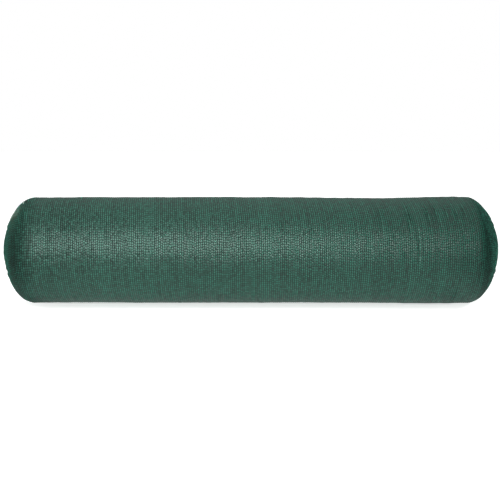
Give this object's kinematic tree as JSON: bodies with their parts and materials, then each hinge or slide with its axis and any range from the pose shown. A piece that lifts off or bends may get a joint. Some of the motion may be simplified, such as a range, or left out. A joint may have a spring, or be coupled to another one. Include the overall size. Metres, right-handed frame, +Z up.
{
  "type": "rolled privacy screen netting",
  "caption": "Roll of dark green knitted privacy netting with soft domed ends, wound without a core and lying on its side.",
  "frame": {"origin": "on the surface the roll lies on, under the middle of the roll", "axes": "+X along the roll's axis, +Z up, -Y towards the side of the roll that the picture shows; the loose end lies on the +Y side, low down"},
  "size_m": [0.9916, 0.2202, 0.2127],
  "materials": {
    "net": "satin"
  },
  "bodies": {
    "root": {"net_roll": "net"}
  },
  "joints": []
}
